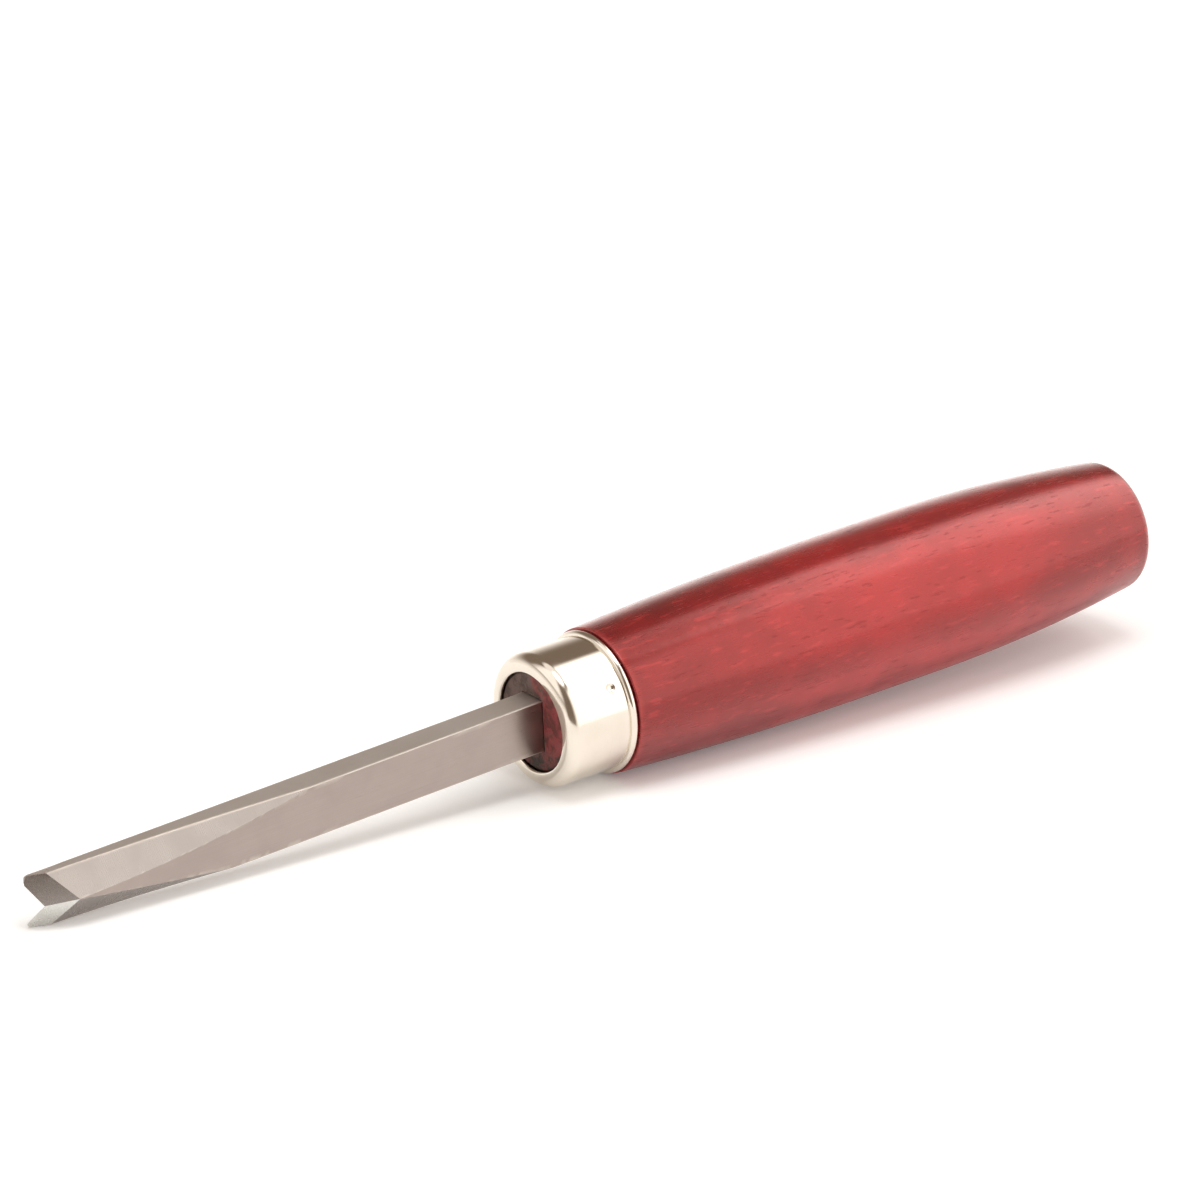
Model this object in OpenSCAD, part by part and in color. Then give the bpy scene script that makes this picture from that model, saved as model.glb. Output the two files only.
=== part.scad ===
// Carving V-tool: a turned wooden handle, a pressed metal ferrule and a blade ground from flat steel bar.
// Every piece is drawn on the handle's own axis. X runs from the cutting end to the butt, X = 0 is the
// front of the ferrule, and the flat back of the blade faces -Y.
// The finished tool is then laid on the bench, where its cutting end and the front sweep of its handle
// touch Z = 0.

/* [Blade] */
// Width of the flat bar
bar_w = 6.35; // [5:0.05:8]
// Thickness of the flat bar
bar_t = 3.7; // [3.1:0.05:4.8]
// Length of blade in front of the ferrule, to the corners of the wings
blade_l = 68.9; // [50:0.1:90]
// Angle between the two wings of the V
v_angle = 100; // [90:1:115]
// Length over which the upper outer facet narrows the flat back to the keel
facet_l = 32; // [15:0.5:40]
// The same for the lower outer facet, which is ground shorter
lower_facet_l = 21; // [15:0.5:40]
// Thickness of each wing at the cutting end, square to the wing
wing_t = 0.9; // [0.6:0.05:1.3]
// Length of the V groove, from the cutting end to where it runs out
groove_l = 32; // [15:0.5:45]
// Length of the sharpening bevel along the keel
bevel_l = 3.9; // [2:0.1:7]
// How far the corners of the wings lead the point of the keel
wing_lead = 1.25; // [0.3:0.05:2.5]
// Radius that eases the corners of the wings
wing_corner_r = 0.9; // [0.2:0.05:1.5]
// Angle by which the blade leans down from the axis of the handle
blade_lean = 1.4; // [0:0.1:3]

/* [Tang] */
// Length of the tang inside the handle
tang_l = 40; // [20:1:60]
// Length of the tang that keeps the full size of the bar
tang_straight_l = 6; // [2:0.5:15]
// Width of the tang at its end
tang_end_w = 2.4; // [1.5:0.1:4]
// Thickness of the tang at its end
tang_end_t = 1.8; // [1:0.1:3]
// Clearance round the tang in its socket
tang_gap = 0.1; // [0.05:0.01:0.3]

/* [Ferrule] */
// Length of the ferrule
ferrule_l = 9.4; // [7.5:0.1:16]
// Outside diameter of the ferrule's barrel
ferrule_d = 16.2; // [13.6:0.1:20]
// Thickness of the ferrule's wall
ferrule_wall = 0.6; // [0.4:0.05:1]
// Outside radius of the ferrule's rounded front corner
corner_r = 1.55; // [1.1:0.05:2]
// Width of the flat ring between that corner and the open mouth
rim_w = 0.55; // [0.35:0.05:1.2]
// Radius of the rolled rear bead
bead_r = 0.5; // [0.2:0.05:0.5]
// Clearance between the ferrule and the wooden tenon
ferrule_gap = 0.05; // [0.02:0.01:0.15]
// Diameter of the punched dimple that stakes the ferrule
dimple_d = 1.2; // [0.6:0.1:1.8]
// Depth of the punched dimple
dimple_h = 0.3; // [0.1:0.05:0.35]
// Distance of the dimple from the rear of the ferrule
dimple_back = 2.6; // [1.8:0.1:5]
// Angle of the dimple above the flat back of the blade
dimple_angle = 34; // [0:1:90]

/* [Handle] */
// Length of the handle behind the ferrule
handle_l = 79.3; // [64:0.1:120]
// Height of the wooden shoulder over the ferrule's barrel
shoulder_step = 0.7; // [0.5:0.05:1]
// Growth of the handle's radius from the shoulder to the belly
belly_swell = 1.15; // [0.6:0.05:4]
// Distance from the ferrule to the belly, where the handle is thickest
belly_x = 36; // [26:0.5:48]
// Length of the belly, which is straight
belly_l = 11; // [2:0.5:20]
// Fall of the handle's radius from the belly to the butt
butt_fall = 2.2; // [0.8:0.05:4]
// Radius of the domed butt
dome_r = 40; // [20:1:120]
// Radius of the rounded edge of the butt
butt_edge_r = 1.5; // [0.5:0.1:4]
// Distance of the tenon's end from the front of the ferrule
tenon_set = 0.5; // [0.4:0.05:1.5]
// Clearance between the chamfered end of the tenon and the ferrule's mouth
mouth_gap = 0.2; // [0.1:0.05:0.5]

/* [Hidden] */
$fn = 96;

// Straight steps in each stretch of a turned outline
sweep_steps = 24;
roll_steps = 12;

// Blade: X of the wing corners, and of the keel's point and heel
half_w = bar_w / 2;
half_t = bar_t / 2;
tip_x = -blade_l;
keel_x = tip_x + wing_lead;
heel_x = keel_x + bevel_l;
v_depth = half_w / tan(v_angle / 2);
groove_run_x = tip_x + groove_l;
// Floor of the groove at the cutting end, and at any X on its straight run up to the far face
groove_floor_y = -half_t + wing_t / sin(v_angle / 2);
function groove_y(x) = groove_floor_y + (half_t - groove_floor_y) * (x - tip_x) / groove_l;

// Ferrule and tenon
ferrule_r = ferrule_d / 2;
half_wall = ferrule_wall / 2;
mouth_r = ferrule_r - corner_r - rim_w;
tenon_r = ferrule_r - ferrule_wall - ferrule_gap;
tenon_x = tenon_set;
tenon_chamfer = tenon_r - mouth_r + mouth_gap;
dimple_r = (dimple_d * dimple_d / 4 + dimple_h * dimple_h) / (2 * dimple_h);

// Tang, along the blade's own axis
tang_taper_x = tenon_x + tang_straight_l;
tang_end_x = tenon_x + tang_l;

// Handle: X of the belly and the butt, and the arcs of its outline, as centres of [radius, X]
shoulder_r = ferrule_r + shoulder_step;
belly_r = shoulder_r + belly_swell;
belly_start_x = ferrule_l + belly_x;
belly_end_x = belly_start_x + belly_l;
butt_x = ferrule_l + handle_l;
function sweep_r(run, drop) = (run * run + drop * drop) / (2 * drop);
front_r = sweep_r(belly_x, belly_swell);
rear_r = sweep_r(butt_x - belly_end_x, butt_fall);
front_c = [belly_r - front_r, belly_start_x];
rear_c = [belly_r - rear_r, belly_end_x];
dome_c = [0, butt_x - dome_r];
// Centre of the butt's rounded edge, which touches the rear sweep and the dome from inside
butt_edge_c = crossing(rear_c, rear_r - butt_edge_r, dome_c, dome_r - butt_edge_r);
front_start = -asin(belly_x / front_r);
edge_start = bearing(butt_edge_c - rear_c);
edge_end = bearing(butt_edge_c - dome_c);

// Where two circles cross, on the left of the line from the first centre to the second
function crossing(c1, r1, c2, r2) =
    let (d = c2 - c1)
    let (along = (d * d + r1 * r1 - r2 * r2) / (2 * norm(d)))
    let (across = sqrt(r1 * r1 - along * along))
    c1 + (along * d + across * [-d[1], d[0]]) / norm(d);

function bearing(v) = atan2(v[1], v[0]);

// Points along an arc, from one angle to another
function arc(c, r, from, to, steps) =
    let (step = (to - from) / steps)
    [for (i = [0 : steps]) c + r * [cos(from + step * i), sin(from + step * i)]];

// Everything but the first point of a list
function rest_of(points) = [for (i = [1 : len(points) - 1]) points[i]];

// A point [X, Z] turned about the middle of the ferrule's mouth, so that a positive angle lowers the tip
function turned_point(p, angle) =
    [p[0] * cos(angle) - p[1] * sin(angle), p[0] * sin(angle) + p[1] * cos(angle)];

// How the tool lies: a line under the lower wing's rounded corner and the front sweep is the bench
corner_c = turned_point([tip_x + wing_corner_r, wing_corner_r - half_w], blade_lean);
sweep_c = [belly_start_x, front_r - belly_r];
span = sweep_c - corner_c;
bench_tilt = atan2(span[0], span[1]) - acos((front_r - wing_corner_r) / norm(span));
bench_lift = front_r - turned_point(sweep_c, bench_tilt)[1];
// X of the tool's ends as it lies, which puts the origin under its middle
upper_corner_c = turned_point([tip_x + wing_corner_r, half_w - wing_corner_r], blade_lean);
front_end_x = turned_point(upper_corner_c, bench_tilt)[0] - wing_corner_r;
butt_end_x = turned_point([dome_c[1], 0], bench_tilt)[0] + dome_r;
middle_x = (front_end_x + butt_end_x) / 2;

// Lays a piece that is drawn on the handle's axis on the bench
module laid() {
    translate([-middle_x, 0, bench_lift])
        rotate([0, -bench_tilt, 0])
            children();
}

// Leans what is drawn on the blade's axis, about the middle of the ferrule's mouth
module leaned() {
    rotate([0, -blade_lean, 0])
        children();
}

// A solid turned about the X axis from an outline of [radius, X] points
module turned(outline) {
    rotate([0, 90, 0])
        rotate_extrude()
            polygon(outline);
}

// A block on one side of the plane through three points, the side from which they run anticlockwise
module beyond(a, b, c) {
    block = 2 * blade_l;
    square_to = cross(b - a, c - a);
    translate(a)
        rotate([0, acos(square_to[2] / norm(square_to)), atan2(square_to[1], square_to[0])])
            translate([-block / 2, -block / 2, 0])
                cube(block);
}

// Outline of the tang seen square to one of its faces, grown by a clearance
function tang_outline(size, end_size, gap) = [
    [0, -size / 2 - gap],
    [tang_taper_x, -size / 2 - gap],
    [tang_end_x + gap, -end_size / 2 - gap],
    [tang_end_x + gap, end_size / 2 + gap],
    [tang_taper_x, size / 2 + gap],
    [0, size / 2 + gap]
];

// The tang, which tapers both ways, or with a clearance the socket that it fills
module tang(gap) {
    deep = 2 * bar_w;
    intersection() {
        rotate([90, 0, 0])
            linear_extrude(height = deep, center = true)
                polygon(tang_outline(bar_w, tang_end_w, gap));
        linear_extrude(height = deep, center = true)
            polygon(tang_outline(bar_t, tang_end_t, gap));
    }
}

// The bar in front of the handle, with the corners of its front end eased
module bar() {
    eased_x = tip_x + wing_corner_r;
    rotate([90, 0, 0])
        linear_extrude(height = bar_t, center = true)
            union() {
                translate([eased_x, -half_w])
                    square([tenon_x - eased_x, bar_w]);
                translate([tip_x, wing_corner_r - half_w])
                    square([wing_corner_r, bar_w - 2 * wing_corner_r]);
                for (side = [-1, 1])
                    translate([eased_x, side * (half_w - wing_corner_r)])
                        circle(wing_corner_r);
            }
}

// What is ground away above the middle of the blade: an outer facet of some length and the sharpening bevel
module grind(length) {
    keel = [keel_x, groove_y(keel_x), 0];
    heel = [heel_x, -half_t, 0];
    beyond(heel, [heel_x + length, -half_t, half_w], [heel_x, v_depth - half_t, half_w]);
    beyond(heel, [tip_x, half_t, half_w], keel);
}

// The V groove in the far face, between the planes inside the two wings
module groove() {
    floor_front = [tip_x, groove_floor_y, 0];
    floor_back = [groove_run_x, half_t, 0];
    reach = (half_t - groove_floor_y) * tan(v_angle / 2);
    intersection() {
        beyond(floor_front, [tip_x, half_t, reach], floor_back);
        beyond(floor_front, floor_back, [tip_x, half_t, -reach]);
    }
}

module blade() {
    color("darkgray")
        laid()
            leaned()
                difference() {
                    union() {
                        bar();
                        tang(0);
                    }
                    grind(facet_l);
                    mirror([0, 0, 1])
                        grind(lower_facet_l);
                    groove();
                }
}

module ferrule() {
    rim_c = [mouth_r + half_wall, half_wall];
    corner_ring_c = [ferrule_r - corner_r, corner_r];
    bead_c = [ferrule_r, ferrule_l - bead_r];
    outline = concat(
        arc(rim_c, half_wall, 90, 270, roll_steps),
        arc(corner_ring_c, corner_r, -90, 0, roll_steps),
        arc(bead_c, bead_r, -90, 90, roll_steps),
        [[ferrule_r - ferrule_wall, ferrule_l]],
        arc(corner_ring_c, corner_r - ferrule_wall, 0, -90, roll_steps)
    );
    color("gainsboro")
        laid()
            difference() {
                turned(outline);
                translate([ferrule_l - dimple_back, 0, 0])
                    rotate([-dimple_angle, 0, 0])
                        translate([0, -ferrule_r + dimple_h - dimple_r, 0])
                            sphere(dimple_r);
            }
}

module handle() {
    outline = concat(
        [[0, tenon_x]],
        [[tenon_r - tenon_chamfer, tenon_x]],
        [[tenon_r, tenon_x + tenon_chamfer]],
        [[tenon_r, ferrule_l]],
        arc(front_c, front_r, front_start, 0, sweep_steps),
        arc(rear_c, rear_r, 0, edge_start, sweep_steps),
        rest_of(arc(butt_edge_c, butt_edge_r, edge_start, edge_end, roll_steps)),
        rest_of(arc(dome_c, dome_r, edge_end, 90, roll_steps))
    );
    color("firebrick")
        laid()
            difference() {
                turned(outline);
                leaned()
                    tang(tang_gap);
            }
}

blade();
ferrule();
handle();
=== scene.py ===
"""Looks of a carving V-tool: a ground steel blade, a bright drawn ferrule and a red-stained turned handle.

Sizes are in millimetres on the handle's own axis: X runs from the cutting end to the butt, X = 0 is the front of
the ferrule, and the flat back of the blade faces -Y. Meshes are written in metres, and each object's matrix lays
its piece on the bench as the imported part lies. Sizes inside materials are in metres on the same axis.
"""
import logging
import math
from dataclasses import dataclass, field
from enum import Enum
from typing import Any, ClassVar

import bmesh
import bpy
from mathutils import Matrix, Vector


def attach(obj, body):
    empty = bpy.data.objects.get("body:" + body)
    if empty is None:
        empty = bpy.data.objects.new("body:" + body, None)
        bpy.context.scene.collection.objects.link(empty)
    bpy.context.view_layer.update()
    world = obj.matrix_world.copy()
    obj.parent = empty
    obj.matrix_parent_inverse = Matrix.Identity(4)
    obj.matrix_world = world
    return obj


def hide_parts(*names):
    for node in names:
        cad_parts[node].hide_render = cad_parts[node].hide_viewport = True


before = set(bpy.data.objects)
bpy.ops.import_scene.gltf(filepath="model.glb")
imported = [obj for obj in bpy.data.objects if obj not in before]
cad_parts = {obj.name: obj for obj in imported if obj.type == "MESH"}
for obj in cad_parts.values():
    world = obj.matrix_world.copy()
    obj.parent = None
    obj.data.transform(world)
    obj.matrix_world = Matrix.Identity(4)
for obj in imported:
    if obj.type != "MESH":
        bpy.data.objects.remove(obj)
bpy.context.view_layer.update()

LOG = logging.getLogger("v_tool")
MM = 0.001
EDGE_LAYER = "edge"
MERGE_DISTANCE = 2e-4
THIN_FACE = 1e-5
FINISH_CREASE = 6.0
UP = Vector((0.0, 0.0, 1.0))

Colour = tuple[float, float, float]
Stretch = tuple[float, float, float]
Patch = tuple[float, float, float]
Ramp = tuple[float, float, float, float]
Row = list[Vector]
Outline = list[tuple[float, float]]
Socket = bpy.types.NodeSocket

GRAIN_STRETCH: Stretch = (330.0, 4200.0, 4200.0)
GRAIN_WAVER = 0.0003


def lerp(a: Any, b: Any, t: float) -> Any:
    """The point or number a share t of the way from a to b."""
    return a + (b - a) * t


def spaced(a: Any, b: Any, count: int, first: int = 0) -> list[Any]:
    """Points or numbers in equal steps from a to b, from the step named first on."""
    return [lerp(a, b, i / count) for i in range(first, count + 1)]


def smooth(t: float) -> float:
    """An eased step from 0 to 1 as t runs from 0 to 1."""
    t = min(max(t, 0.0), 1.0)
    return t * t * (3.0 - 2.0 * t)


def bent(a: Vector, corner: Vector, b: Vector, t: float) -> Vector:
    """A point a share t of the way round an eased corner from a to b."""
    return lerp(lerp(a, corner, t), lerp(corner, b, t), t)


def arc(cx: float, cr: float, radius: float, start: float, stop: float, steps: int) -> Outline:
    """Points of an arc in an outline of X and radius.

    Args:
        cx: X of the centre.
        cr: Radius of the centre from the turning axis.
        radius: Radius of the arc.
        start: First angle in degrees, where 0 points out from the axis and 90 towards the butt.
        stop: Last angle in degrees.
        steps: Number of straight steps.

    Returns:
        Points as pairs of X and radius.
    """
    angles = [math.radians(a) for a in spaced(start, stop, steps)]
    return [(cx + radius * math.sin(a), cr + radius * math.cos(a)) for a in angles]


def around(count: int) -> Outline:
    """Y and Z of points spaced evenly on a circle of radius 1, starting at -Y."""
    turns = [2.0 * math.pi * i / count for i in range(count)]
    return [(-math.cos(t), math.sin(t)) for t in turns]


def ring(x: float, radius: float, count: int) -> Row:
    """A ring of points round the turning axis."""
    return [Vector((x, radius * y, radius * z)) for y, z in around(count)]


class Zone(Enum):
    """Which finish a face of the blade takes."""

    BAR = 0
    FACET = 1
    BEVEL = 2
    PAINTED_LIGHT_BEVEL = 3
    GROOVE = 4
    SIDE = 5


class Coating(Enum):
    """Which finish a face of the handle takes."""

    LACQUERED = 0
    BARE = 1


class Axis(Enum):
    """The way that fine lines run on steel, as how closely they lie along X, Y and Z."""

    ALONG = (70.0, 8000.0, 8000.0)
    ACROSS = (8000.0, 90.0, 90.0)
    SLANTED = (6000.0, 6000.0, 500.0)


@dataclass
class Skin:
    """The faces of one closed piece, gathered patch by patch in millimetres."""

    points: list[Vector] = field(default_factory=list)
    edges: list[float] = field(default_factory=list)
    faces: list[tuple[int, ...]] = field(default_factory=list)
    zones: list[int] = field(default_factory=list)

    def patch(
        self,
        rows: list[Row],
        zone: int = 0,
        wrap: bool = False,
        worn: list[float] | None = None,
        row_worn: list[float] | None = None,
    ) -> None:
        """Adds a patch of four-sided faces between neighbouring rows of points.

        Args:
            rows: Rows with the same number of points.
            zone: Index of the material of its faces.
            wrap: Whether each row closes on itself.
            worn: How far each column counts as a worn edge, from 0 to 1.
            row_worn: How far each row counts as a worn edge, where the columns are not given.
        """
        first, wide = len(self.points), len(rows[0])
        for i, row in enumerate(rows):
            self.points.extend(row)
            self.edges.extend(worn or [row_worn[i] if row_worn else 0.0] * wide)
        last = wide if wrap else wide - 1
        for i in range(len(rows) - 1):
            for j in range(last):
                a, b = first + i * wide + j, first + i * wide + (j + 1) % wide
                self.faces.append((a, b, b + wide, a + wide))
                self.zones.append(zone)

    def cap(self, row: Row, zone: int = 0) -> None:
        """Adds one flat face through a closed row of points.

        Args:
            row: Points of the outline.
            zone: Index of the material of the face.
        """
        first = len(self.points)
        self.points.extend(row)
        self.edges.extend([0.0] * len(row))
        self.faces.append(tuple(range(first, first + len(row))))
        self.zones.append(zone)

    def fan(self, apex: Vector, count: int, zone: int = 0) -> None:
        """Closes the last ring of points with three-sided faces up to one point.

        Args:
            apex: The point that the faces share.
            count: Number of points in the ring.
            zone: Index of the material of the faces.
        """
        top = len(self.points)
        self.points.append(apex)
        self.edges.append(0.0)
        for i in range(count):
            self.faces.append((top - count + i, top - count + (i + 1) % count, top))
            self.zones.append(zone)

    def add_mirrored(self, other: "Skin") -> None:
        """Adds the faces of another skin on the other side of Z = 0.

        Args:
            other: The skin to mirror.
        """
        first = len(self.points)
        self.points.extend(Vector((p.x, p.y, -p.z)) for p in other.points)
        self.edges.extend(other.edges)
        self.faces.extend(tuple(first + i for i in reversed(f)) for f in other.faces)
        self.zones.extend(other.zones)

    def piece(
        self, name: str, place: Matrix, crease: float, materials: list[bpy.types.Material]
    ) -> bpy.types.Object:
        """Joins the patches into one closed mesh and links it to the scene.

        Args:
            name: Name of the piece.
            place: Where the piece's own axis lies in the row frame, in metres.
            crease: Angle in degrees above which an edge between faces is sharp.
            materials: Materials in the order of the zones.

        Returns:
            The new object.
        """
        bm = bmesh.new()
        worn = bm.verts.layers.float.new(EDGE_LAYER)
        verts = []
        for point, edge in zip(self.points, self.edges):
            vert = bm.verts.new(point)
            vert[worn] = edge
            verts.append(vert)
        for corners, zone in zip(self.faces, self.zones):
            face = bm.faces.new([verts[i] for i in corners])
            face.material_index = zone
            face.smooth = True
        bmesh.ops.remove_doubles(bm, verts=bm.verts, dist=MERGE_DISTANCE)
        bmesh.ops.dissolve_degenerate(bm, edges=bm.edges, dist=THIN_FACE)
        loose = [v for v in bm.verts if not v.link_faces]
        bmesh.ops.delete(bm, geom=loose, context="VERTS")
        bmesh.ops.recalc_face_normals(bm, faces=bm.faces)
        for edge in bm.edges:
            zones = {f.material_index for f in edge.link_faces}
            limit = min(crease, FINISH_CREASE) if len(zones) > 1 else crease
            edge.smooth = edge.calc_face_angle(0.0) < math.radians(limit)
        open_edges = sum(1 for e in bm.edges if len(e.link_faces) != 2)
        bmesh.ops.scale(bm, vec=(MM, MM, MM), verts=bm.verts)
        mesh = bpy.data.meshes.new(name)
        bm.to_mesh(mesh)
        bm.free()
        for material in materials:
            mesh.materials.append(material)
        obj = bpy.data.objects.new(name, mesh)
        obj.matrix_world = place
        bpy.context.scene.collection.objects.link(obj)
        counts = len(mesh.vertices), len(mesh.polygons), open_edges
        LOG.info("%s: %d points, %d faces, %d open edges", name, *counts)
        return obj


@dataclass(frozen=True)
class ToolSizes:
    """The sizes that the pieces share, and how the finished tool lies on the bench."""

    bar_w: float = 6.35
    bar_t: float = 3.7
    blade_l: float = 68.9
    blade_lean: float = 1.4
    wing_corner_r: float = 0.9
    ferrule_l: float = 9.4
    ferrule_d: float = 16.2
    ferrule_wall: float = 0.6
    corner_r: float = 1.55
    handle_l: float = 79.3
    shoulder_step: float = 0.7
    belly_swell: float = 1.15
    belly_x: float = 36.0
    dome_r: float = 40.0
    tenon_set: float = 0.5
    tang_l: float = 40.0
    tang_straight_l: float = 6.0
    tang_end_w: float = 2.4
    tang_end_t: float = 1.8

    @property
    def tip_x(self) -> float:
        """X of the corners of the wings."""
        return -self.blade_l

    @property
    def ferrule_r(self) -> float:
        """Outside radius of the ferrule's barrel."""
        return self.ferrule_d / 2

    @property
    def shoulder_r(self) -> float:
        """Radius of the handle just behind the ferrule."""
        return self.ferrule_r + self.shoulder_step

    @property
    def belly_r(self) -> float:
        """Radius of the handle at its thickest."""
        return self.shoulder_r + self.belly_swell

    @property
    def front_r(self) -> float:
        """Radius of the long sweep from the shoulder to the belly."""
        return (self.belly_x**2 + self.belly_swell**2) / (2 * self.belly_swell)

    @property
    def butt_x(self) -> float:
        """X of the end of the butt."""
        return self.ferrule_l + self.handle_l

    @property
    def tang_span(self) -> tuple[float, float]:
        """X where the tang starts to taper, and X of its end."""
        return self.tenon_set + self.tang_straight_l, self.tenon_set + self.tang_l

    def tang_half(self, x: float) -> tuple[float, float]:
        """Half the size of the bar or tang.

        Args:
            x: Where the blade is cut, along its own axis.

        Returns:
            Half the thickness and half the width.
        """
        taper_x, end_x = self.tang_span
        t = min(max((x - taper_x) / (end_x - taper_x), 0.0), 1.0)
        return lerp(self.bar_t, self.tang_end_t, t) / 2, lerp(self.bar_w, self.tang_end_w, t) / 2

    def lean(self) -> Matrix:
        """The turn that leans the blade down about the middle of the ferrule's mouth."""
        return Matrix.Rotation(-math.radians(self.blade_lean), 4, "Y")

    def laid(self) -> Matrix:
        """Where the handle's axis lies: the lower wing's corner and the front sweep touch the bench.

        Returns:
            The placing matrix, in metres.
        """
        eased = self.wing_corner_r
        low = self.lean() @ Vector((self.tip_x + eased, 0.0, eased - self.bar_w / 2))
        high = self.lean() @ Vector((self.tip_x + eased, 0.0, self.bar_w / 2 - eased))
        sweep = Vector((self.ferrule_l + self.belly_x, 0.0, self.front_r - self.belly_r))
        span = sweep - low
        tilt = math.atan2(span.x, span.z) - math.acos((self.front_r - eased) / span.length)
        turn = Matrix.Rotation(-tilt, 4, "Y")
        lift = self.front_r - (turn @ sweep).z
        butt = turn @ Vector((self.butt_x - self.dome_r, 0.0, 0.0))
        middle = ((turn @ high).x - eased + butt.x + self.dome_r) / 2
        return Matrix.Translation(Vector((-middle, 0.0, lift)) * MM) @ turn


class Wiring:
    """Adds shader nodes to one tree and joins them."""

    def __init__(self, tree: bpy.types.NodeTree) -> None:
        """Keeps the tree and clears it."""
        self.tree = tree
        tree.nodes.clear()

    def fill(self, node: bpy.types.Node, values: dict[Any, Any]) -> bpy.types.Node:
        """Sets or joins inputs of a node.

        Args:
            node: The node.
            values: Input sockets by name or index, each with a value or an output socket to join.

        Returns:
            The same node.
        """
        for key, value in values.items():
            if isinstance(value, Socket):
                self.tree.links.new(value, node.inputs[key])
            else:
                node.inputs[key].default_value = value
        return node

    def add(self, kind: str, values: dict[Any, Any] | None = None, **settings: Any) -> bpy.types.Node:
        """Adds a node.

        Args:
            kind: Type of the node, without the leading ShaderNode.
            values: Input sockets by name or index, each with a value or an output socket to join.
            settings: Properties of the node.

        Returns:
            The new node.
        """
        node = self.tree.nodes.new("ShaderNode" + kind)
        for key, value in settings.items():
            setattr(node, key, value)
        return self.fill(node, values or {})

    def group(self, tree: bpy.types.NodeTree, **values: Any) -> Any:
        """Places a node group with its own values and returns its outputs."""
        return self.add("Group", values, node_tree=tree).outputs

    def place(self) -> Socket:
        """Adds the place on the piece, in metres on its own axis."""
        return self.add("TexCoord").outputs["Object"]

    def math(self, operation: str, a: Any, b: Any = 0.0, clamp: bool = False) -> Socket:
        """Adds one sum and returns its result."""
        return self.add("Math", {0: a, 1: b}, operation=operation, use_clamp=clamp).outputs[0]

    def times(self, a: Any, b: Any) -> Socket:
        """Adds a product of two values and returns it."""
        return self.math("MULTIPLY", a, b)

    def minus(self, a: Any, b: Any, clamp: bool = False) -> Socket:
        """Adds a difference of two values and returns it."""
        return self.math("SUBTRACT", a, b, clamp)

    def plus(self, first: Any, *others: Any, clamp: bool = False) -> Socket:
        """Adds the sum of two or more values.

        Args:
            first: The first value.
            others: The values to add to it.
            clamp: Whether the sum is kept between 0 and 1.

        Returns:
            The sum.
        """
        total = first
        for i, other in enumerate(others):
            total = self.math("ADD", total, other, clamp and i == len(others) - 1)
        return total

    def larger(self, a: Any, b: Any) -> Socket:
        """Adds the larger of two values and returns it."""
        return self.math("MAXIMUM", a, b)

    def mix(self, share: Any, a: Any, b: Any) -> Socket:
        """Adds a mix of two colours and returns its result."""
        a, b = (c if isinstance(c, Socket) else (*c, 1.0) for c in (a, b))
        return self.add("Mix", {0: share, 6: a, 7: b}, data_type="RGBA").outputs[2]

    def ramp(self, value: Any, low: Any, high: Any, to_low: float = 0.0, to_high: float = 1.0) -> Socket:
        """Adds an eased change from one value to another and returns its result."""
        values = {0: value, 1: low, 2: high, 3: to_low, 4: to_high}
        return self.add("MapRange", values, interpolation_type="SMOOTHSTEP").outputs[0]

    def noise(self, where: Any, scale: Any, detail: float = 2.0, rough: float = 0.5) -> Socket:
        """Adds even noise and returns its value."""
        values = {"Vector": where, "Scale": scale, "Detail": detail, "Roughness": rough}
        return self.add("TexNoise", values, normalize=True).outputs[0]

    def scaled(self, where: Any, by: Any) -> Socket:
        """Adds a stretch of a place along each axis and returns it."""
        return self.add("VectorMath", {0: where, 1: by}, operation="MULTIPLY").outputs[0]

    def surface(self, values: dict[str, Any], height: Socket, depth: float) -> None:
        """Adds the shader of a surface, with its bump, and joins it to the output.

        Args:
            values: Inputs of the shader by name, each with a value or an output socket to join.
            height: Height of the bump, from 0 to 1.
            depth: What a height of 1 stands for, in metres.
        """
        bump = self.add("Bump", {"Height": height, "Distance": depth, "Strength": 1.0})
        shader = self.add("BsdfPrincipled", {**values, "Normal": bump.outputs[0]})
        self.add("OutputMaterial", {0: shader.outputs[0]})


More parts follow.
